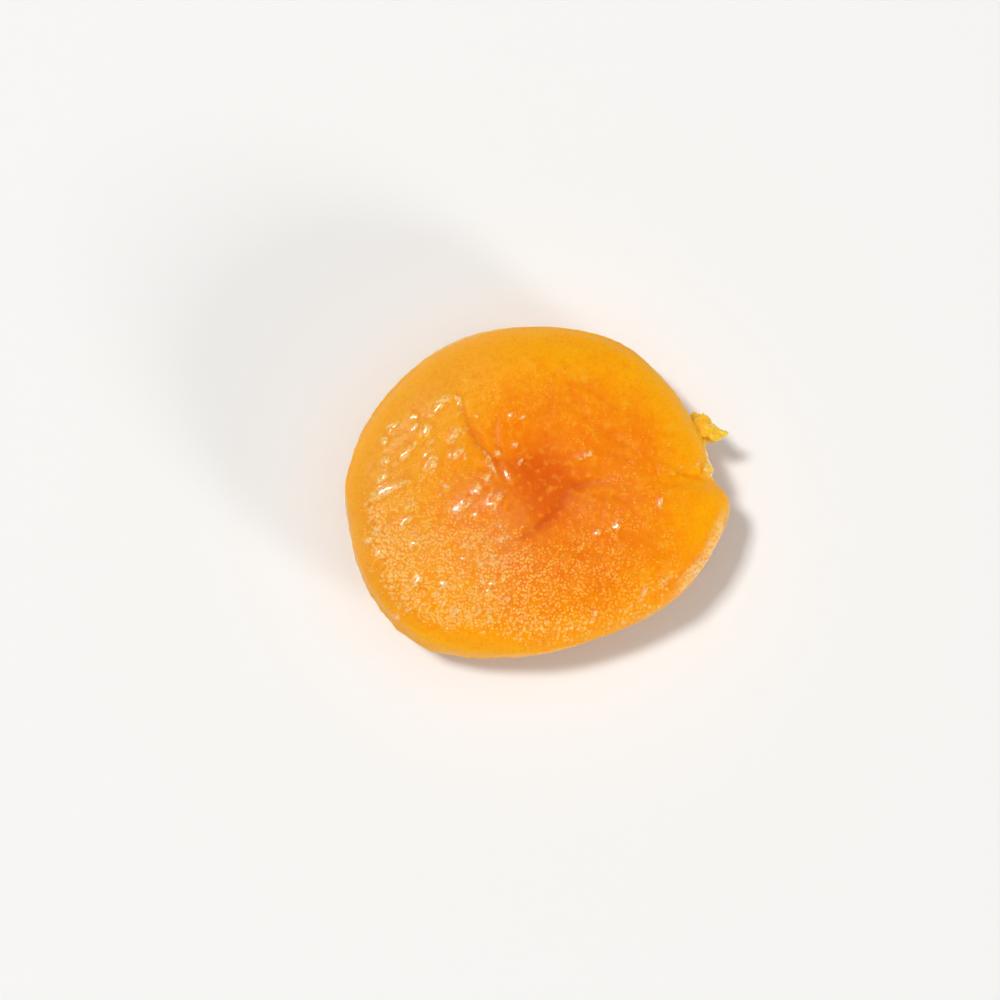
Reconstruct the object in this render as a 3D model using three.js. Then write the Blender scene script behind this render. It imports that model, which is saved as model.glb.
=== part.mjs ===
// A whole dried apricot, pitted and pressed flat: one leathery solid, lying on its small flat spot.
// Millimetres, +Z up. The origin is under the middle of the fruit, on the surface it rests on.
// +X points to the stem end, where the stone was squeezed out through a torn mouth.
import * as THREE from "three";
import { mergeVertices } from "three/addons/utils/BufferGeometryUtils.js";

// Driving dimensions.
const LENGTH = 42.0;          // along X, from the blossom end to the tip of the lobe by the mouth
const WIDTH = 36.1;           // along Y, across the cheeks
const RIM_HEIGHT = 5.9;       // height of the widest line of the rim
const CROWN = 6.2;            // rise of the upper face above that line, before its hollows
const BELLY = 6.1;            // fall of the lower face below it, before the flat spot
const CROWN_FULLNESS = 3.3;   // exponent of its section above that line: 2 is an ellipse, more is fuller
const BELLY_FULLNESS = 2.3;   // exponent of its section below that line
const RIM_WARP = 0.5;         // the rim isn't level: it rises and falls by this much
const CELLS_ACROSS = 26;      // grid cells along each edge of the upper and lower faces
const CELLS_HIGH = 16;        // grid cells up the rim

// The outline from above, one point every few millimetres, anticlockwise from the lip of the mouth.
const outline = new THREE.CatmullRomCurve3([
  [19.0, 1.6], [18.9, 3.3], [18.2, 5.6], [16.3, 9.3], [13.4, 13.1], [9.6, 16.3],
  [4.6, 17.85], [-2.2, 17.95], [-8.9, 16.5], [-14.7, 12.3], [-19.0, 6.5], [-21.0, 0.8],
  [-20.4, -4.0], [-18.8, -9.6], [-15.7, -14.4], [-11.4, -17.2], [-5.0, -18.15], [2.1, -17.4],
  [10.3, -14.3], [16.6, -10.1], [20.3, -4.0], [20.9, -0.9], [19.9, 0.6],
].map(([x, y]) => new THREE.Vector3(x, y, 0)), true, "catmullrom", 0.5);

// Hollows pressed into the upper face: the middle of each, how far it reaches along and across its
// own direction, its turn from +X in degrees, and its depth.
const HOLLOWS = [
  { at: [0.4, 0.0], reach: [14.0, 12.0], turn: 20, depth: 1.5 },     // the broad dish
  { at: [1.6, 1.0], reach: [4.4, 3.0], turn: -25, depth: 0.35 },     // its deepest place
  { at: [5.0, 0.8], reach: [4.0, 1.5], turn: 8, depth: 0.2 },        // crease towards the mouth
  { at: [-0.6, -3.6], reach: [4.6, 1.5], turn: 42, depth: 0.2 },     // crease towards the near cheek
  { at: [-6.2, 4.6], reach: [5.6, 1.5], turn: 128, depth: 0.2 },     // crease towards the far cheek
  { at: [16.6, 1.3], reach: [3.4, 1.0], turn: -6, depth: 0.8 },      // the mouth's corner, torn inward
];

// Round the rim, the fold where the two flattened cheeks meet. It wanders up and down by its wave
// and fades away from the mouth.
const FOLD = { depth: 0.5, halfHeight: 0.9, wave: 0.6 };

// The mouth is a slit into the rim, centred on this direction in degrees. Below it the torn lower
// lip sticks out.
const MOUTH = { depth: 2.4, halfHeight: 0.95, towards: 13, spread: 17 };
const LIP = { out: 2.6, below: 2.2, halfHeight: 1.2, towards: 20, spread: 6 };

const radians = THREE.MathUtils.degToRad;
const bell = (x) => Math.exp(-x * x);

// How near a direction is to another, given in degrees: 1 on it, falling off over the spread.
function facing(angle, towards, spread) {
  const apart = angle - radians(towards);
  return bell(Math.atan2(Math.sin(apart), Math.cos(apart)) / radians(spread));
}

// Distance from the middle to the outline in a direction, found by halving the stretch of the curve
// that holds it: the outline goes round the middle once, so its angle only grows along it.
function outlineRadius(angle) {
  const start = outline.getPoint(0);
  const first = Math.atan2(start.y, start.x);
  const turned = (a) => THREE.MathUtils.euclideanModulo(a - first, 2 * Math.PI);
  const goal = turned(angle);
  let low = 0;
  let high = 1;
  for (let step = 0; step < 24; step += 1) {
    const middle = (low + high) / 2;
    const point = outline.getPoint(middle);
    if (turned(Math.atan2(point.y, point.x)) < goal) low = middle;
    else high = middle;
  }
  const found = outline.getPoint((low + high) / 2);
  return Math.hypot(found.x, found.y);
}

function hollowDepth(x, y) {
  let total = 0;
  for (const { at, reach, turn, depth } of HOLLOWS) {
    const c = Math.cos(radians(turn));
    const s = Math.sin(radians(turn));
    const along = (x - at[0]) * c + (y - at[1]) * s;
    const across = (y - at[1]) * c - (x - at[0]) * s;
    total += depth * bell(along / reach[0]) * bell(across / reach[1]);
  }
  return total;
}

// How far the rim is moved out (or in, where negative) at a height above its widest line.
function rimShift(angle, above) {
  const line = FOLD.wave * Math.sin(3 * angle + 0.7);
  const fade = 0.35 + 0.65 * Math.cos(angle / 2 + 0.3) ** 2;
  const fold = FOLD.depth * fade * bell((above - line) / FOLD.halfHeight);
  const slit = MOUTH.depth * bell(above / MOUTH.halfHeight)
    * facing(angle, MOUTH.towards, MOUTH.spread);
  const lip = LIP.out * bell((above + LIP.below) / LIP.halfHeight)
    * facing(angle, LIP.towards, LIP.spread);
  return lip - slit - fold;
}

// One point of the skin, for a direction seen from the middle of the fruit.
function skinPoint(direction) {
  const angle = Math.atan2(direction.y, direction.x);
  const level = Math.hypot(direction.x, direction.y);
  const steep = Math.abs(direction.z);
  const fullness = direction.z > 0 ? CROWN_FULLNESS : BELLY_FULLNESS;
  const scale = (level ** fullness + steep ** fullness) ** (-1 / fullness);
  const reach = level * scale;
  const rise = direction.z * scale;

  const above = rise * (rise > 0 ? CROWN : BELLY);
  const radius = outlineRadius(angle) * reach + rimShift(angle, above) * reach ** 4;
  const x = radius * Math.cos(angle);
  const y = radius * Math.sin(angle);

  const warp = RIM_WARP * Math.cos(2 * angle + 0.9) * reach ** 2;
  const pressed = rise > 0 ? hollowDepth(x, y) * Math.min(1, 1.6 * rise) : 0;
  return new THREE.Vector3(x, y, Math.max(0, RIM_HEIGHT + warp + above - pressed));
}

// The skin is laid on a ball made from the six gridded faces of a box, so that its cells stay even.
function apricotGeometry() {
  const box = new THREE.BoxGeometry(2, 2, 2, CELLS_ACROSS, CELLS_ACROSS, CELLS_HIGH);
  box.deleteAttribute("normal");
  box.deleteAttribute("uv");
  const geometry = mergeVertices(box);
  const position = geometry.getAttribute("position");
  const even = (a) => Math.tan(a * Math.PI / 4);
  const point = new THREE.Vector3();
  for (let i = 0; i < position.count; i += 1) {
    point.fromBufferAttribute(position, i);
    point.set(even(point.x), even(point.y), even(point.z)).normalize();
    const skin = skinPoint(point);
    position.setXYZ(i, skin.x, skin.y, skin.z);
  }

  // The fold takes a little off the outline, so the whole is brought back to its length and width.
  geometry.computeBoundingBox();
  const { min, max } = geometry.boundingBox;
  geometry.translate(-(min.x + max.x) / 2, -(min.y + max.y) / 2, -min.z);
  geometry.scale(LENGTH / (max.x - min.x), WIDTH / (max.y - min.y), 1);
  geometry.computeVertexNormals();
  return geometry;
}

const driedFlesh = new THREE.MeshStandardMaterial({ color: 0xee8a16, roughness: 0.4, metalness: 0 });

const apricot = new THREE.Mesh(apricotGeometry(), driedFlesh);
apricot.name = "dried_apricot";

const object = new THREE.Group();
object.add(apricot);

export default object;
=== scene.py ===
import math

import bmesh
import bpy
import numpy as np
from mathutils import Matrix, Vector


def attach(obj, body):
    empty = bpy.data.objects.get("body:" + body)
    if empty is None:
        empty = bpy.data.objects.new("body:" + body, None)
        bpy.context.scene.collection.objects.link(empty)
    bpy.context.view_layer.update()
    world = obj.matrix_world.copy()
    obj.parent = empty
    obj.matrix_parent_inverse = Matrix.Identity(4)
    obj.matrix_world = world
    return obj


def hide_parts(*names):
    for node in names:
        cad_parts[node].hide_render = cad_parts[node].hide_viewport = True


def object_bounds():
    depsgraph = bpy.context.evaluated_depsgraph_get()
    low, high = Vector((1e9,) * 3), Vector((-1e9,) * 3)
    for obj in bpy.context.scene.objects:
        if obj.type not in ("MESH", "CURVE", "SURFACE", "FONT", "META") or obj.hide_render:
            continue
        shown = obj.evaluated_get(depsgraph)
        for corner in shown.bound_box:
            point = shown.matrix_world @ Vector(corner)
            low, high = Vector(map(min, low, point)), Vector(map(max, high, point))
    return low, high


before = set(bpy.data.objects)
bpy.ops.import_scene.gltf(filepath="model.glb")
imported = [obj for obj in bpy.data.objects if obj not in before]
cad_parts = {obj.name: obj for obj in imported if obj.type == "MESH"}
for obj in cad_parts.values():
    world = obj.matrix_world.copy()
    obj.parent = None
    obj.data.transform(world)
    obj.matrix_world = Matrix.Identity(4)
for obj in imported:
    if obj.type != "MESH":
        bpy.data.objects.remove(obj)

cad_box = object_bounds()
scene = bpy.context.scene


# The pressed fruit. The stone has been squeezed out of the stem end and the empty fruit pressed
# flat, then dried, so it is one leathery disc with a thick rounded rim and a dished upper face.
# It starts as the solid's own shape, rounded off and given a skin fine enough to be wrinkled.
MM = 0.001
SKIN_CELL = 0.205     # size of the skin's facets, in millimetres
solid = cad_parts["dried_apricot"]


class Flesh:
    """The mesh being worked. Its points are read and written in millimetres."""

    def __init__(self, mesh):
        self.mesh = mesh

    def read(self, kind):
        """The places of the points, or the way the skin faces at each."""
        values = np.empty(len(self.mesh.vertices) * 3, np.float32)
        if kind == "points":
            self.mesh.vertices.foreach_get("co", values)
            return values.reshape(-1, 3).astype(float) / MM
        self.mesh.vertex_normals.foreach_get("vector", values)
        return values.reshape(-1, 3).astype(float)

    def write(self, points):
        self.mesh.vertices.foreach_set("co", (points * MM).astype(np.float32).ravel())
        self.mesh.update()

    def raise_by(self, height):
        """Moves the skin out along its normals by a height, in millimetres, at each point."""
        self.write(self.read("points") + self.read("normals") * height[:, None])

    def mark(self, name, values):
        """Keeps one number for each point, for the finish to read."""
        layer = self.mesh.attributes.new(name, "FLOAT", "POINT")
        layer.data.foreach_set("value", values.astype(np.float32))


def worked(piece, *modifiers):
    """The piece's mesh after modifiers, each given as its kind and its settings."""
    for kind, settings in modifiers:
        modifier = piece.modifiers.new(kind.lower(), kind)
        for name, value in settings.items():
            setattr(modifier, name, value)
    result = bpy.data.meshes.new_from_object(
        piece.evaluated_get(bpy.context.evaluated_depsgraph_get())
    )
    piece.modifiers.clear()
    piece.data = result
    return Flesh(result)


start = bmesh.new()
start.from_mesh(solid.data)
bmesh.ops.remove_doubles(start, verts=start.verts, dist=0.001 * MM)
bmesh.ops.join_triangles(
    start, faces=start.faces, angle_face_threshold=0.9, angle_shape_threshold=3.1
)
first_mesh = bpy.data.meshes.new("dried_flesh")
start.to_mesh(first_mesh)
start.free()
apricot = bpy.data.objects.new("apricot_flesh", first_mesh)
scene.collection.objects.link(apricot)
flesh = worked(apricot, ("SUBSURF", {"levels": 2}))


# The torn mouth. The stone left through the stem end, so the upper lip ends in a ragged edge with
# wet crumbs over a slit, and beside it torn flesh sticks out of the rim in a knobbly tuft.
# Tuft and crumbs are flesh too, so they are grown into the same mesh when the skin is made.
MOUTH = {"towards": math.radians(13), "spread": math.radians(15), "height": 6.0, "half": 0.6}
SLIT_DEPTH = 2.2
TUFT = {"strings": 70, "across": (6.1, 8.8), "height": (4.4, 8.0), "steps": (2, 8), "size": 0.32}
TUFT_TOWARDS = (0.6, -0.25, 0.0)
MOUTH_CRUMBS = [
    (18.8, 3.3), (18.9, 2.8), (18.7, 2.4), (18.85, 1.9), (18.6, 1.6), (18.5, 3.8), (18.6, 2.9),
    (18.4, 2.3), (18.6, 2.1), (18.3, 3.5), (18.9, 2.3), (18.4, 4.4), (18.3, 4.4), (17.9, 2.6),
    (17.2, 2.4), (17.0, 3.1), (16.4, 1.9), (15.2, 2.3), (14.4, 1.9), (13.6, 2.2), (17.5, 1.9),
    (18.2, 3.1),
]
CRUMB_SIZE = (0.28, 0.42)
CRUMB_TOWARDS = (0.6, -0.3, 0.1)
CRUMB_INSET = 0.25
CRUMB_RISE = 0.2
WANDER = 1.5     # how far a string strays at each step, against how far it is drawn on
STRIDE = 0.9     # of a crumb's radius


def smoothstep(low, high, values):
    """0 below low, 1 above high, with a soft slope between them."""
    part = np.clip((values - low) / (high - low), 0, 1)
    return part * part * (3 - 2 * part)


def lumps(points, size, seed):
    """Soft random lumps of about this size at each point, from -1 to 1."""
    table = np.random.default_rng(seed).uniform(-1, 1, (32, 32, 32))
    place = points / size
    cell = np.floor(place).astype(int)
    part = place - cell
    part = part * part * (3 - 2 * part)
    total = 0
    for corner in np.ndindex(2, 2, 2):
        weight = np.prod(np.where(corner, part, 1 - part), axis=1)
        x, y, z = ((cell + corner) % 32).T
        total = total + weight * table[x, y, z]
    return total


points = flesh.read("points")
angle = np.arctan2(points[:, 1], points[:, 0])
at_mouth = np.exp(-(((angle - MOUTH["towards"]) / MOUTH["spread"]) ** 2))
ragged = 0.35 * lumps(points, 1.1, 3)
in_slit = np.exp(-(((points[:, 2] - MOUTH["height"] + ragged) / MOUTH["half"]) ** 2))
outward = np.hypot(points[:, 0], points[:, 1])
near_rim = smoothstep(12, 17, outward)
inward = SLIT_DEPTH * at_mouth * in_slit * near_rim
points[:, :2] *= (1 - inward / np.maximum(outward, 1))[:, None]
flesh.write(points)

torn = bmesh.new()
torn.from_mesh(flesh.mesh)
chance = np.random.default_rng(11)


def grow_crumbs(root, towards, steps, size):
    """A knobbly string of flesh that wanders from its root towards a direction, in millimetres."""
    place = Vector(root)
    for _ in range(steps):
        radius = size * chance.uniform(0.7, 1.3)
        blob = bmesh.ops.create_icosphere(torn, subdivisions=1, radius=radius * MM)
        bmesh.ops.translate(torn, verts=blob["verts"], vec=place * MM)
        turn = Vector([chance.uniform(-1, 1) for _ in range(3)])
        place = place + (Vector(towards) + turn * WANDER).normalized() * radius * STRIDE


def top_at(x, y):
    """Height of the upper face over a place, in millimetres."""
    upper = points[points[:, 2] > 6]
    return upper[np.hypot(upper[:, 0] - x, upper[:, 1] - y).argmin(), 2]


for _ in range(TUFT["strings"]):
    y = chance.uniform(*TUFT["across"])
    edge = 19.2 - 0.5 * (y - 5.7)     # where the rim ends beside the mouth
    root = (edge + chance.uniform(-0.8, 0.8), y, chance.uniform(*TUFT["height"]))
    grow_crumbs(root, TUFT_TOWARDS, chance.integers(*TUFT["steps"]), TUFT["size"])
for x, y in MOUTH_CRUMBS:
    root = (x - CRUMB_INSET, y, top_at(x, y) + CRUMB_RISE)
    grow_crumbs(root, CRUMB_TOWARDS, 2, chance.uniform(*CRUMB_SIZE))
torn.to_mesh(flesh.mesh)
torn.free()
skin = {"mode": "VOXEL", "voxel_size": SKIN_CELL * MM, "use_smooth_shade": True}
flesh = worked(apricot, ("REMESH", skin), ("SMOOTH", {"factor": 0.5, "iterations": 4}))
points = flesh.read("points")
normals = flesh.read("normals")


# Folds and creases of the upper face. As the flesh shrank it creased along lines that run out
# from the dished middle, and the border of the stiffer middle shows as a fold in the far cheek.
# Each line is given by the few points it passes, by its width and by its depth.
FACE_CREASES = [
    ([(-9.3, 9.5), (-7.7, 6.9), (-6.6, 4.9), (-4.9, 3.4), (-4.2, 1.9), (-3.7, 0.6)], 0.55, 0.50),
    ([(-5.1, 7.9), (-4.8, 5.8), (-4.2, 4.1), (-3.3, 2.5), (-2.1, 0.9)], 0.45, 0.24),
    ([(-3.7, 3.6), (-1.4, 2.3), (0.7, 1.4), (3.4, 0.5)], 0.9, 0.20),
    ([(2.4, 0.7), (3.8, 0.4), (5.2, 0.6), (7.4, 1.3)], 0.6, 0.26),
    ([(3.2, 0.6), (1.9, -1.8), (-0.4, -3.7), (-2.6, -5.4), (-4.8, -6.9)], 0.55, 0.32),
    ([(13.4, 1.7), (15.2, 1.6), (16.8, 1.3), (19.4, 0.9)], 0.22, 0.35),
    ([(5.0, -1.1), (7.6, -0.9), (10.1, -1.5)], 0.4, 0.20),
    ([(6.2, -9.1), (6.5, -11.4), (6.4, -14.1)], 0.4, 0.10),
    ([(0.6, 12.7), (4.4, 11.6), (7.4, 9.3), (9.6, 7.9)], 0.5, 0.16),
    ([(4.9, 7.7), (6.8, 6.7), (9.0, 5.0), (11.5, 3.6)], 0.5, 0.16),
    ([(1.2, 17.0), (5.4, 15.9), (9.2, 13.6), (11.5, 11.8)], 0.5, 0.14),
    ([(3.4, 15.4), (7.0, 14.0), (10.0, 12.0)], 0.5, 0.12),
    ([(3.0, 9.4), (5.2, 8.0), (6.6, 6.2)], 0.35, 0.14),
    ([(5.4, 4.9), (7.8, 3.6), (10.4, 2.7)], 0.4, 0.16),
    ([(6.4, -5.2), (9.4, -5.0), (12.2, -6.2)], 0.35, 0.14),
    ([(1.2, -6.6), (4.4, -7.2), (7.6, -6.8)], 0.4, 0.16),
    ([(-17.6, -9.0), (-15.4, -12.2), (-12.0, -14.9), (-7.6, -16.6), (-3.0, -16.9)], 0.8, 0.12),
    ([(18.9, -3.2), (17.6, -6.4), (15.4, -9.2), (12.2, -11.5), (7.6, -13.9)], 0.7, 0.16),
]


# Broad soft swellings and sinkings under the creases: the middle of each, its reach and its rise.
SWELLINGS = [
    ((-5.4, -2.0), 2.2, 0.60),
    ((0.4, 0.0), 2.8, -0.22),
    ((-0.6, 3.2), 2.0, -0.12),
    ((3.4, 5.0), 3.0, 0.20),
    ((-9.5, 8.0), 2.0, 0.20),
    ((-1.8, -9.5), 3.5, 0.20),
]


def smooth_line(stops, steps=12):
    """A smooth line through a few stops, as many short steps."""
    stops = np.array(stops, float)
    padded = np.vstack([2 * stops[0] - stops[1], stops, 2 * stops[-1] - stops[-2]])
    line = []
    for a, b, c, d in zip(padded, padded[1:], padded[2:], padded[3:]):
        for part in np.arange(steps) / steps:
            line.append(
                0.5 * (2 * b + (c - a) * part + (2 * a - 5 * b + 4 * c - d) * part**2
                       + (3 * b - a - 3 * c + d) * part**3)
            )
    return np.array(line + [stops[-1]])


wander = np.stack([lumps(points, 1.6, 21), lumps(points, 1.6, 22)], axis=1) * 0.22
wander += np.stack([lumps(points, 5.0, 23), lumps(points, 5.0, 24)], axis=1) * 0.35
face_place = points[:, :2] + wander
on_face = smoothstep(0.05, 0.5, normals[:, 2]) * (points[:, 2] > 4)


def near_line(stops, reach):
    """The points of the face within reach of a line: which they are, how they lie from the nearest
    place on it, and how far along it that is, from 0 to 1."""
    line = smooth_line(stops)
    low, high = line.min(0) - reach, line.max(0) + reach
    close = np.all((face_place > low) & (face_place < high), axis=1) & (on_face > 0)
    which = np.flatnonzero(close)
    offsets = face_place[which, None] - line[None]
    nearest = np.linalg.norm(offsets, axis=2).argmin(1)
    return which, offsets[np.arange(len(which)), nearest], nearest / (len(line) - 1)


def tapered(part):
    """1 along most of a line, falling away towards both its ends."""
    return np.sin(math.pi * np.clip(part, 0.02, 0.98)) ** 0.6


height = np.zeros(len(points))
for middle, reach, rise in SWELLINGS:
    apart = np.linalg.norm(points[:, :2] - middle, axis=1)
    height += rise * np.exp(-((apart / reach) ** 2)) * on_face
# The next mask marks the crease valleys only so that shade can be painted into them.
crease_shade = np.zeros(len(points))
for stops, width, depth in FACE_CREASES:
    which, offset, part = near_line(stops, 5 * width)
    apart = np.linalg.norm(offset, axis=1)
    valley = np.exp(-np.sqrt(apart**2 + 0.01) / width)
    shoulder = 0.35 * np.exp(-(((apart - 1.7 * width) / width) ** 2))
    height[which] += depth * tapered(part) * (shoulder - valley)
    crease_shade[which] = np.maximum(crease_shade[which], tapered(part) * valley * min(1, depth / 0.3))


# Wet ridges. Over the far side of the blossom end the skin stands up in short ridges that catch
# the light as if wet, and a few more lie across the dish and the cheek near the mouth.
# Each is given by the points it passes, its width and its height. One side is steeper.
RIDGE_LIFT = 1.3
STEEP_SIDE = np.array([0.55, -0.83])
SLIGHT_RIDGES = {"count": 70, "width": (0.16, 0.28), "rise": (0.05, 0.12)}
WET_RIDGES = [
    ([(-9.6, 10.1), (-10.4, 8.9), (-11.4, 7.7)], 0.50, 0.26),
    ([(-11.4, 6.9), (-12.5, 4.9)], 0.46, 0.24),
    ([(-13.2, 4.8), (-14.4, 3.7), (-15.6, 2.4)], 0.50, 0.26),
    ([(-16.3, 1.5), (-17.9, 0.0)], 0.44, 0.22),
    ([(-14.0, 0.8), (-16.4, -0.4), (-19.0, -2.2)], 0.50, 0.28),
    ([(-8.3, 6.5), (-9.1, 5.2), (-9.8, 4.2)], 0.46, 0.24),
    ([(-7.9, 4.4), (-9.6, 2.6)], 0.46, 0.24),
    ([(-10.8, 3.6), (-11.4, 2.4), (-12.1, 1.0)], 0.50, 0.26),
    ([(-16.5, 5.4), (-17.1, 4.0)], 0.42, 0.20),
    ([(-16.4, 3.4), (-17.1, 1.9)], 0.42, 0.20),
    ([(-13.0, 6.9), (-13.8, 5.8)], 0.34, 0.14),
    ([(-16.7, -3.8), (-17.4, -5.5)], 0.42, 0.20),
    ([(-17.8, -5.4), (-18.3, -6.4)], 0.34, 0.16),
    ([(-4.1, -0.4), (-4.8, -1.6), (-5.5, -2.9)], 0.60, 0.34),
    ([(-7.3, -1.0), (-8.3, -2.3), (-9.6, -3.6)], 0.54, 0.26),
    ([(-6.4, 0.8), (-6.9, -1.0)], 0.46, 0.24),
    ([(-5.3, 1.7), (-6.0, 0.6)], 0.36, 0.20),
    ([(-3.6, -5.0), (-4.6, -6.3)], 0.50, 0.20),
    ([(-4.4, 4.5), (-4.1, 3.3)], 0.40, 0.28),
    ([(-7.4, 5.2), (-5.7, 3.6), (-4.9, 2.0), (-4.6, 0.9)], 0.26, 0.28),
    ([(-9.9, 9.9), (-8.9, 9.2), (-8.5, 8.3)], 0.28, 0.20),
    ([(-10.9, 0.2), (-9.7, -0.5)], 0.28, 0.12),
    ([(-3.9, 1.9), (-3.2, 0.6)], 0.26, 0.14),
    ([(-13.7, -11.1), (-12.3, -9.8)], 0.36, 0.18),
    ([(-10.9, -10.9), (-10.0, -10.1)], 0.32, 0.16),
    ([(-9.6, -14.1), (-9.0, -12.8)], 0.32, 0.16),
    ([(-5.4, -10.6), (-4.4, -10.1)], 0.26, 0.16),
    ([(-8.5, -8.2), (-7.9, -7.7)], 0.32, 0.16),
    ([(-17.4, -7.6), (-16.8, -6.9)], 0.30, 0.14),
    ([(-14.7, -5.0), (-14.5, -3.9)], 0.30, 0.14),
    ([(4.1, 3.0), (6.4, 4.1)], 0.38, 0.16),
    ([(13.2, -0.6), (12.9, -2.4)], 0.30, 0.16),
    ([(8.8, -3.0), (8.0, -4.9)], 0.34, 0.20),
    ([(6.3, -4.2), (5.8, -5.0)], 0.30, 0.14),
    ([(11.6, -10.2), (10.9, -11.5)], 0.30, 0.16),
    ([(13.7, -9.4), (13.0, -10.8)], 0.30, 0.16),
    ([(6.2, -12.9), (5.6, -14.1)], 0.32, 0.16),
    ([(20.2, -1.2), (19.6, -4.2), (18.1, -7.2), (15.9, -9.9), (13.0, -12.3)], 0.70, 0.34),
    ([(18.4, 3.3), (18.5, 1.7)], 0.30, 0.35),
    ([(16.9, 3.0), (17.2, 2.4)], 0.24, 0.15),
    ([(15.0, 2.5), (15.6, 2.0)], 0.24, 0.12),
]
chance = np.random.default_rng(61)
for _ in range(SLIGHT_RIDGES["count"]):     # the slighter ones lie without a pattern
    x, y = chance.uniform(-18, -2), chance.uniform(-15, 9)
    turn = math.radians(chance.normal(50, 16))
    half = chance.uniform(0.2, 0.7)
    step = np.array([math.cos(turn), math.sin(turn)]) * half
    ends = [(x - step[0], y - step[1]), (x + step[0], y + step[1])]
    width = chance.uniform(*SLIGHT_RIDGES["width"])
    WET_RIDGES.append((ends, width, chance.uniform(*SLIGHT_RIDGES["rise"])))
wet = np.zeros(len(points))
for stops, width, rise in WET_RIDGES:
    which, offset, part = near_line(stops, 4 * width)
    reach = np.where(offset @ STEEP_SIDE > 0, 0.6 * width, 1.6 * width)
    apart = np.linalg.norm(offset, axis=1) / reach
    crest = np.exp(-(apart**2)) * tapered(part)
    height[which] += RIDGE_LIFT * rise * crest * (0.9 + 0.15 * lumps(points[which], 0.6, 31))
    wet[which] = np.maximum(wet[which], crest)


# Wrinkles. Away from the tight rim the skin is finely gathered: slanting from the near rim of the
# blossom end to the far one on the upper face, and running to the mouth along the lower one, where
# the fruit dried against the tray and gathered most.
RISES = {     # in millimetres
    "gathers": 0.015, "blossom_gathers": 0.012, "fine_gathers": 0.012, "underneath": 0.11,
    "folds": 0.16, "puckers": 0.13, "fine_puckers": 0.04, "drawn_in": 0.07, "lumps": 0.10,
}


def gathers(turn, spacing, length, seed):
    """Ridges at a turn from +X in degrees, this far apart and about this long, from -1 to 1."""
    c = math.cos(math.radians(turn))
    s = math.sin(math.radians(turn))
    x, y = face_place.T
    bent = np.stack([(x * c + y * s) / length, (y * c - x * s) / spacing, points[:, 2] / 3], axis=1)
    wave = lumps(bent, 1.0, seed)
    return 1 - 2 * np.abs(wave) ** 0.8


blossom_side = smoothstep(6, -8, points[:, 0])
coarse_gathers = gathers(turn=52, spacing=0.75, length=3.2, seed=41)
coarse_gathers *= RISES["gathers"] + RISES["blossom_gathers"] * blossom_side
fine_gathers = RISES["fine_gathers"] * gathers(turn=75, spacing=0.5, length=1.8, seed=42)
height += on_face * (coarse_gathers + fine_gathers)
underneath = smoothstep(0.1, -0.4, normals[:, 2]) * smoothstep(0.1, 1.2, points[:, 2])
lower_gathers = gathers(turn=5.73, spacing=0.9, length=5.5, seed=43)
height += underneath * RISES["underneath"] * lower_gathers
rim_side = smoothstep(0.85, 0.35, np.abs(normals[:, 2]))
folds = 1 - 2 * np.abs(lumps(points / (8.0, 8.0, 1.5), 1.0, 44)) ** 0.8
puckers = 1 - 2 * np.abs(lumps(points / (1.7, 1.7, 6.0), 1.0, 46)) ** 0.8
fine_puckers = 1 - 2 * np.abs(lumps(points / (0.7, 0.7, 2.5), 1.0, 47)) ** 0.8
low_down = smoothstep(8.5, 4.5, points[:, 2])
gathered_rim = RISES["folds"] * folds + RISES["puckers"] * puckers * low_down
gathered_rim += RISES["fine_puckers"] * fine_puckers - RISES["drawn_in"]
height += rim_side * gathered_rim
height += RISES["lumps"] * lumps(points, 4.5, 45) * smoothstep(0.1, 1.0, points[:, 2])
flesh.raise_by(height)

points = flesh.read("points")
points[:, 2] = np.maximum(points[:, 2], 0)
flesh.write(points)


# What the finish needs to know of the shape: how red the flesh is towards the dished middle,
# with painted shade there and in its creases, where a painted sheen lies, how wet the ridges are
# (which also places painted glints), where it is torn, and where the skin is grained.
points = flesh.read("points")
normals = flesh.read("normals")
patchy = 0.12 * lumps(points, 3.5, 51) + 0.06 * lumps(points, 1.2, 52)


def spot(x, y, across, high):
    """How far each point is from a spot on the face, where 1 is its edge."""
    return np.hypot((points[:, 0] - x) / across, (points[:, 1] - y) / high) + patchy


flesh.mark("orange", on_face * smoothstep(1.35, 0.45, spot(2.6, -1.2, 14.0, 13.8)))
# The red spot over the dished middle is partly the flesh's own deeper red and partly painted shade of
# the hollow; the crease valleys add painted shade.
redness_and_shade = smoothstep(1.7, 0.0, spot(0.3, 0.4, 4.2, 4.4))
flesh.mark("redness_and_shade", np.clip(on_face * redness_and_shade + 0.7 * crease_shade, 0, 1))
# Painted sheen: a pale milky veil over the near side of the blossom end's face, where the window
# would gleam.
flesh.mark("sheen_veil", on_face * smoothstep(1.5, 0.1, spot(-6.3, -5.2, 5.2, 6.8)))
tuft_near = np.exp(-(((points - (19.9, 6.9, 6.0)) / (2.0, 2.0, 3.6)) ** 2).sum(1))
lip_near = np.exp(-(((points[:, :2] - (18.6, 2.8)) / (0.8, 1.4)) ** 2).sum(1))
flesh.mark("wet", np.maximum(wet, lip_near))
flesh.mark("torn", np.clip(1.5 * tuft_near + 0.6 * lip_near, 0, 1))
out = np.hypot(points[:, 0] / 21, points[:, 1] / 18) + 0.03 * lumps(points, 1.3, 53)
out -= 0.09 * np.exp(-(((points[:, :2] - (-15.0, -12.5)) / 6.0) ** 2).sum(1))
near_side = smoothstep(4, -8, points[:, 1] + 0.3 * points[:, 0])
flesh.mark("grain", on_face * smoothstep(0.90 + 0.12 * near_side, 0.72 + 0.12 * near_side, out))
flesh.mark("near_rim", on_face * near_side * smoothstep(0.70, 0.84, out) * smoothstep(1.0, 0.88, out))
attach(apricot, "root")
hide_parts("dried_apricot")
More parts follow.
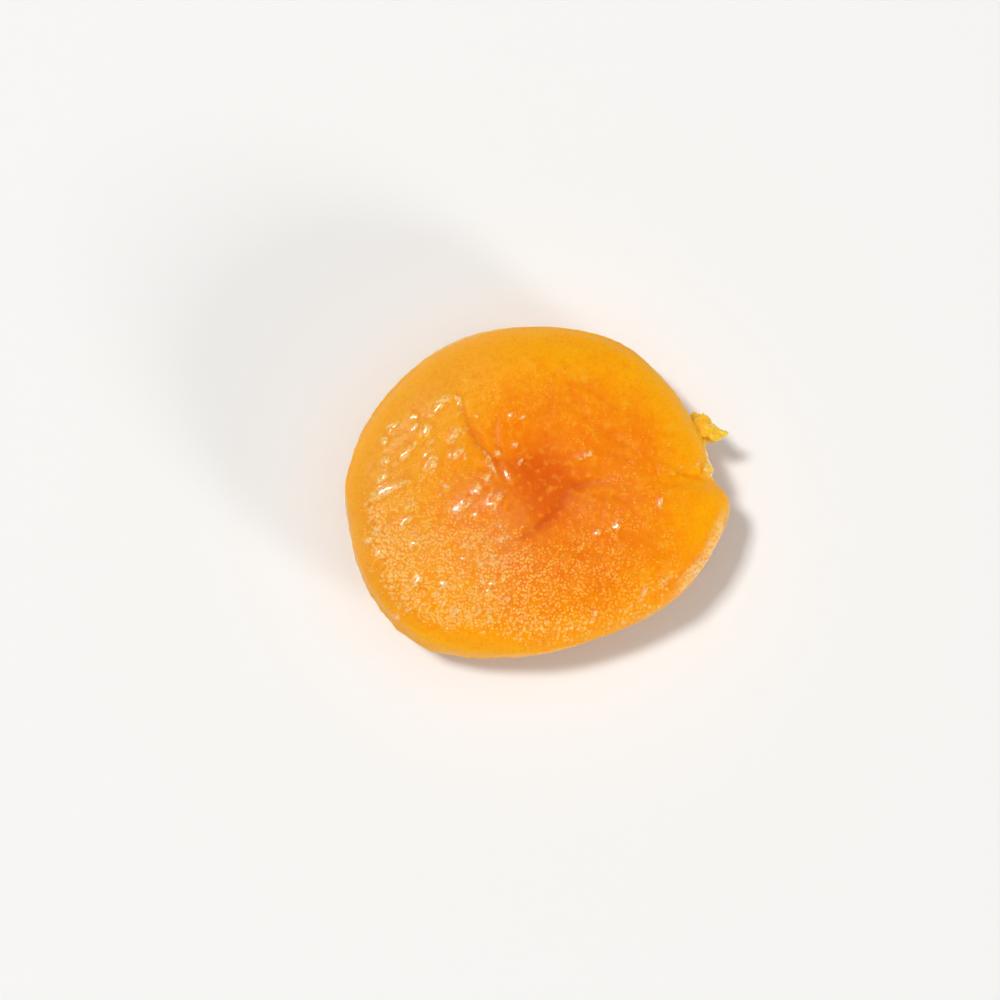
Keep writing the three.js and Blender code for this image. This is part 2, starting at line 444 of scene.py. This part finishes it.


# The flesh's finish. Dried apricot flesh is translucent: amber at the rim, where light passes
# through, and red-orange in the thick middle, under a thin moist skin with a fine grain. Shade,
# sheen and glints are also painted into its colour where marked below.
class Value:
    """A number or colour that varies over the surface, with sums written as on plain numbers."""

    tree = None

    def __init__(self, socket):
        self.socket = socket

    @classmethod
    def node(cls, kind, settings=None, output=0, **inputs):
        """A node of a type, its settings made first, then the values or links of its sockets."""
        made = cls.tree.nodes.new("ShaderNode" + kind)
        for name, value in (settings or {}).items():
            setattr(made, name, value)
        for name, value in inputs.items():
            key = int(name[1:]) if name[0] == "n" and name[1:].isdigit() else name.replace("_", " ")
            socket = made.inputs[key]
            if isinstance(value, Value):
                cls.tree.links.new(value.socket, socket)
            else:
                socket.default_value = value
        return cls(made.outputs[output])

    def sum(self, operation, a, b):
        return Value.node("Math", {"operation": operation}, n0=a, n1=b)

    def __add__(self, other):
        return self.sum("ADD", self, other)

    __radd__ = __add__

    def __mul__(self, other):
        return self.sum("MULTIPLY", self, other)

    __rmul__ = __mul__

    def __sub__(self, other):
        return self.sum("SUBTRACT", self, other)

    def __rsub__(self, other):
        return self.sum("SUBTRACT", other, self)

    def between(self, low, high):
        """0 below low and 1 above high, with a soft slope between them."""
        kind = {"interpolation_type": "SMOOTHSTEP"}
        return Value.node("MapRange", kind, Value=self, From_Min=low, From_Max=high)

    def tint(self, amount, colour):
        """This colour, mixed with another by an amount from 0 to 1."""
        return Value.node("Mix", {"data_type": "RGBA"}, output=2, n0=amount, n6=self, n7=colour)


AMBER_RIM = (0.98, 0.42, 0.002, 1)
SHEEN_PALE_RIM = (0.84, 0.40, 0.03, 1)
ORANGE_FACE = (0.88, 0.25, 0.002, 1)
RED_FLESH_AND_SHADE = (0.74, 0.125, 0.001, 1)
SHEEN_VEIL_TINT = (0.90, 0.40, 0.13, 1)
TORN_YELLOW = (1.0, 0.55, 0.04, 1)
PALE_GRAIN_AND_GLINT = (1.0, 0.64, 0.24, 1)
AMBER_GRAIN_AND_GLINT = (1.0, 0.50, 0.04, 1)
PAINTED_GLINT_PALE = (1.0, 0.68, 0.34, 1)
PIN_SPECK = (0.20, 0.05, 0.01, 1)

finish = bpy.data.materials.new("dried_flesh")
finish.use_nodes = True
Value.tree = finish.node_tree
shader = finish.node_tree.nodes["Principled BSDF"]


def marked(name):
    """The number kept under this name for each point of the skin."""
    return Value.node("Attribute", {"attribute_name": name}, output=2)


place = Value.node("TexCoord", output=3)


def cloud(size, detail=2.0):
    """Soft noise with lumps of about this size in millimetres."""
    return Value.node("TexNoise", Vector=place, Scale=1 / (size * MM), Detail=detail)


grain = marked("grain")
torn_flesh = marked("torn")
wet_ridge = marked("wet")
axes = Value.node("SeparateXYZ", Vector=place)
along_x = Value(axes.socket.node.outputs["X"])
along_y = Value(axes.socket.node.outputs["Y"])
# The blossom end, the side towards the window, turns to a paler, hazier rim colour: a painted sheen.
window_side_sheen = (along_y * 0.4 - along_x).between(0.002, 0.020)
colour = Value.node("Mix", {"data_type": "RGBA"}, output=2, n0=window_side_sheen, n6=AMBER_RIM, n7=SHEEN_PALE_RIM)
colour = colour.tint((marked("orange") + (cloud(1.6, 4) - 0.5) * 0.7).between(0.0, 1.1), ORANGE_FACE)
# Towards red: the middle's own red, with painted shade in the dish and in the creases.
colour = colour.tint((marked("redness_and_shade") + (cloud(1.0, 4) - 0.5) * 0.5).between(0.0, 1.2), RED_FLESH_AND_SHADE)
# Painted sheen: a pale veil laid over that patch.
colour = colour.tint(marked("sheen_veil") * cloud(1.5, 3).between(0.3, 0.65) * 0.5, SHEEN_VEIL_TINT)


def granules(spacing, amount):
    """Small round domes this far apart in millimetres, kept where the amount of them is high."""
    flat = {"voronoi_dimensions": "2D"}
    cells = Value.node("TexVoronoi", flat, Vector=place, Scale=1 / (spacing * MM))
    luck = Value(cells.socket.node.outputs["Color"])
    return (1 - cells.between(0.05, 0.6)) * (luck + amount - 1).between(0.0, 0.7)


near_cheek = (0 - along_y - along_x * 0.25).between(-0.003, 0.012)
patches = cloud(2.2).between(0.35, 0.65)
amount = grain * (near_cheek * 0.6 + patches * 0.5 + 0.4) * (1 - marked("redness_and_shade") * 0.85)
fine = granules(0.34, amount)
blossom_cheek = near_cheek * (0 - along_x).between(-0.010, 0.006)
middling = granules(0.47, amount * blossom_cheek * (patches * 0.5 + 0.5))
coarse = granules(0.62, marked("near_rim") * (patches * 0.3 + 0.6))
grain_dots_and_glints = fine.between(0.15, 0.8) * cloud(0.9, 3).between(0.25, 0.6)
mottle = cloud(0.8, 5)
colour = colour.tint(cloud(0.3, 3).between(0.55, 0.3) * 0.2, RED_FLESH_AND_SHADE)
colour = colour.tint(mottle.between(0.5, 0.75) * grain * 0.4, AMBER_GRAIN_AND_GLINT)
colour = colour.tint(mottle.between(0.5, 0.25) * grain * 0.25, RED_FLESH_AND_SHADE)
# Painted shade: the skin between the fine granules of the near cheek is darkened towards red.
colour = colour.tint((1 - fine) * grain * near_cheek * 0.2, RED_FLESH_AND_SHADE)
# The granules are lightened against the skin between them: partly their own paler colour, partly
# painted glints on their domes.
colour = colour.tint(grain_dots_and_glints * 0.65, AMBER_GRAIN_AND_GLINT)
colour = colour.tint(grain_dots_and_glints * (near_cheek * 0.2 + blossom_cheek * 0.3), PALE_GRAIN_AND_GLINT)
# The larger granules of the near cheek and near rim are lightened the same way: own colour and
# painted glints.
colour = colour.tint(middling.between(0.2, 0.8) * 0.4, PALE_GRAIN_AND_GLINT)
colour = colour.tint(coarse.between(0.2, 0.8) * 0.6, PALE_GRAIN_AND_GLINT)
# Painted glints: pale streaks along the crests of the wet ridges and along the near rim below the
# mouth.
painted_glint = wet_ridge.between(0.3, 0.9) * cloud(0.35, 2).between(0.35, 0.6)
colour = colour.tint(painted_glint * 0.68, PAINTED_GLINT_PALE)
colour = colour.tint(torn_flesh, TORN_YELLOW)
specks = Value.node("TexVoronoi", Vector=place, Scale=1 / (9.0 * MM))
colour = colour.tint((1 - specks.between(0.008, 0.016)) * 0.7, PIN_SPECK)

STRIPE = {"turn": math.radians(55), "length": 1.1 * MM, "width": 0.17 * MM}
run = math.cos(STRIPE["turn"])
climb = math.sin(STRIPE["turn"])
slanted = Value.node(
    "CombineXYZ",
    X=(along_x * run + along_y * climb) * (1 / STRIPE["length"]),
    Y=(along_y * run - along_x * climb) * (1 / STRIPE["width"]),
)
stripes = Value.node("TexNoise", Vector=slanted, Scale=1.0, Detail=2.0)
wet_grain = granules(0.30, 1.0) * wet_ridge.between(0.2, 0.8) * 0.3
wet_grain = wet_grain + stripes.between(0.3, 0.7) * wet_ridge.between(0.05, 0.5) * 0.7
bumps = fine * 0.45 + middling * 0.5 + coarse * 0.8 + wet_grain
bumps = bumps + cloud(0.3, 3) * 0.3 + mottle * (grain * 1.2 + 0.3)
bumps = bumps + torn_flesh * cloud(0.4, 2) * 3.0
skin_bump = Value.node("Bump", Height=bumps, Distance=0.07 * MM, Strength=1.0)
gloss = 0.33 + marked("redness_and_shade") * 0.22 - wet_ridge.between(0.2, 0.8) * 0.20
gloss = gloss - torn_flesh * 0.15 - fine * 0.12
moisture = wet_ridge.between(0.1, 0.6) + torn_flesh * 0.9
for name, value in (("Base Color", colour), ("Roughness", gloss), ("Normal", skin_bump),
                    ("Coat Weight", moisture)):
    Value.tree.links.new(value.socket, shader.inputs[name])
shader.inputs["Subsurface Weight"].default_value = 1.0
shader.inputs["Subsurface Radius"].default_value = (1.0, 0.45, 0.12)
shader.inputs["Subsurface Scale"].default_value = 2.2 * MM
shader.inputs["Coat Roughness"].default_value = 0.2
shader.inputs["IOR"].default_value = 1.42
shader.inputs["Specular IOR Level"].default_value = 0.22
apricot.data.materials.clear()
apricot.data.materials.append(finish)


# The sheet that the fruit lies on. It is plain pale card, cut round, and far larger than the fruit,
# which only rests on it.
SHEET_RADIUS = 1.6
paper = bmesh.new()
bmesh.ops.create_circle(paper, cap_ends=True, segments=96, radius=SHEET_RADIUS)
paper_mesh = bpy.data.meshes.new("pale_sheet")
paper.to_mesh(paper_mesh)
paper.free()
sheet = bpy.data.objects.new("pale_sheet", paper_mesh)
scene.collection.objects.link(sheet)
card = bpy.data.materials.new("pale_card")
card.use_nodes = True
card_shader = card.node_tree.nodes["Principled BSDF"]
card_shader.inputs["Base Color"].default_value = (0.86, 0.85, 0.83, 1)
card_shader.inputs["Roughness"].default_value = 0.9
paper_mesh.materials.append(card)


# Studio light: a soft window high over the blossom end, whose gleams show on the wet ridges, a low
# strip from the near side of the mouth that brightens the rim there, a wide ceiling and an even
# pale surround. The strip and the ceiling leave no gleams.
def hang_light(name, place, size, watts, gleams=True):
    """A soft square lamp at a place in metres, facing the fruit, with or without gleams on it."""
    lamp = bpy.data.lights.new(name, "AREA")
    lamp.size = size
    lamp.energy = watts
    holder = bpy.data.objects.new(name, lamp)
    holder.location = place
    holder.rotation_euler = (-Vector(place)).to_track_quat("-Z", "Y").to_euler()
    holder.visible_camera = False
    holder.visible_glossy = gleams
    scene.collection.objects.link(holder)


hang_light("window", (-1.00, 0.42, 2.10), 0.36, 35)
hang_light("near_strip", (1.40, -1.10, 0.60), 0.40, 14, gleams=False)
hang_light("ceiling", (0.0, 0.0, 2.5), 4.0, 30, gleams=False)
surround = bpy.data.worlds.new("surround")
surround.use_nodes = True
Value.tree = surround.node_tree
sky = surround.node_tree.nodes["Background"]
upward = Value.node("SeparateXYZ", Vector=Value.node("TexCoord", output=0), output=2)
glow = 0.80 - upward.between(0.0, 0.2) * 0.45 - upward.between(0.2, 0.8) * 0.30
Value.tree.links.new(glow.socket, sky.inputs["Strength"])
sky.inputs["Color"].default_value = (0.97, 0.98, 1.0, 1)
scene.world = surround
scene.view_settings.view_transform = "Standard"


# The camera looks down on the upper face from a little to the near side of the blossom end, so a
# thin band of the rim shows there. The fruit lies a little off the middle of a field 109 mm across.
FIELD = 0.1088
LENS = 100.0
SENSOR = 36.0
LEAN = math.radians(8)
TOWARDS = (-0.7, -0.714)     # the way it leans, from above the middle of the fruit
FIELD_MIDDLE = (-0.0037, -0.0008)
camera = bpy.data.cameras.new("overhead")
camera.lens = LENS
camera.sensor_width = SENSOR
watcher = bpy.data.objects.new("overhead", camera)
back = Vector((TOWARDS[0] * math.sin(LEAN), TOWARDS[1] * math.sin(LEAN), math.cos(LEAN)))
watcher.rotation_euler = (math.asin(-back.y), math.asin(back.x), 0)
aim = Vector((*FIELD_MIDDLE, (cad_box[0][2] + cad_box[1][2]) / 2))
watcher.location = aim + back * (FIELD * LENS / SENSOR)
bpy.context.view_layer.update()
scene.collection.objects.link(watcher)
scene.camera = watcher
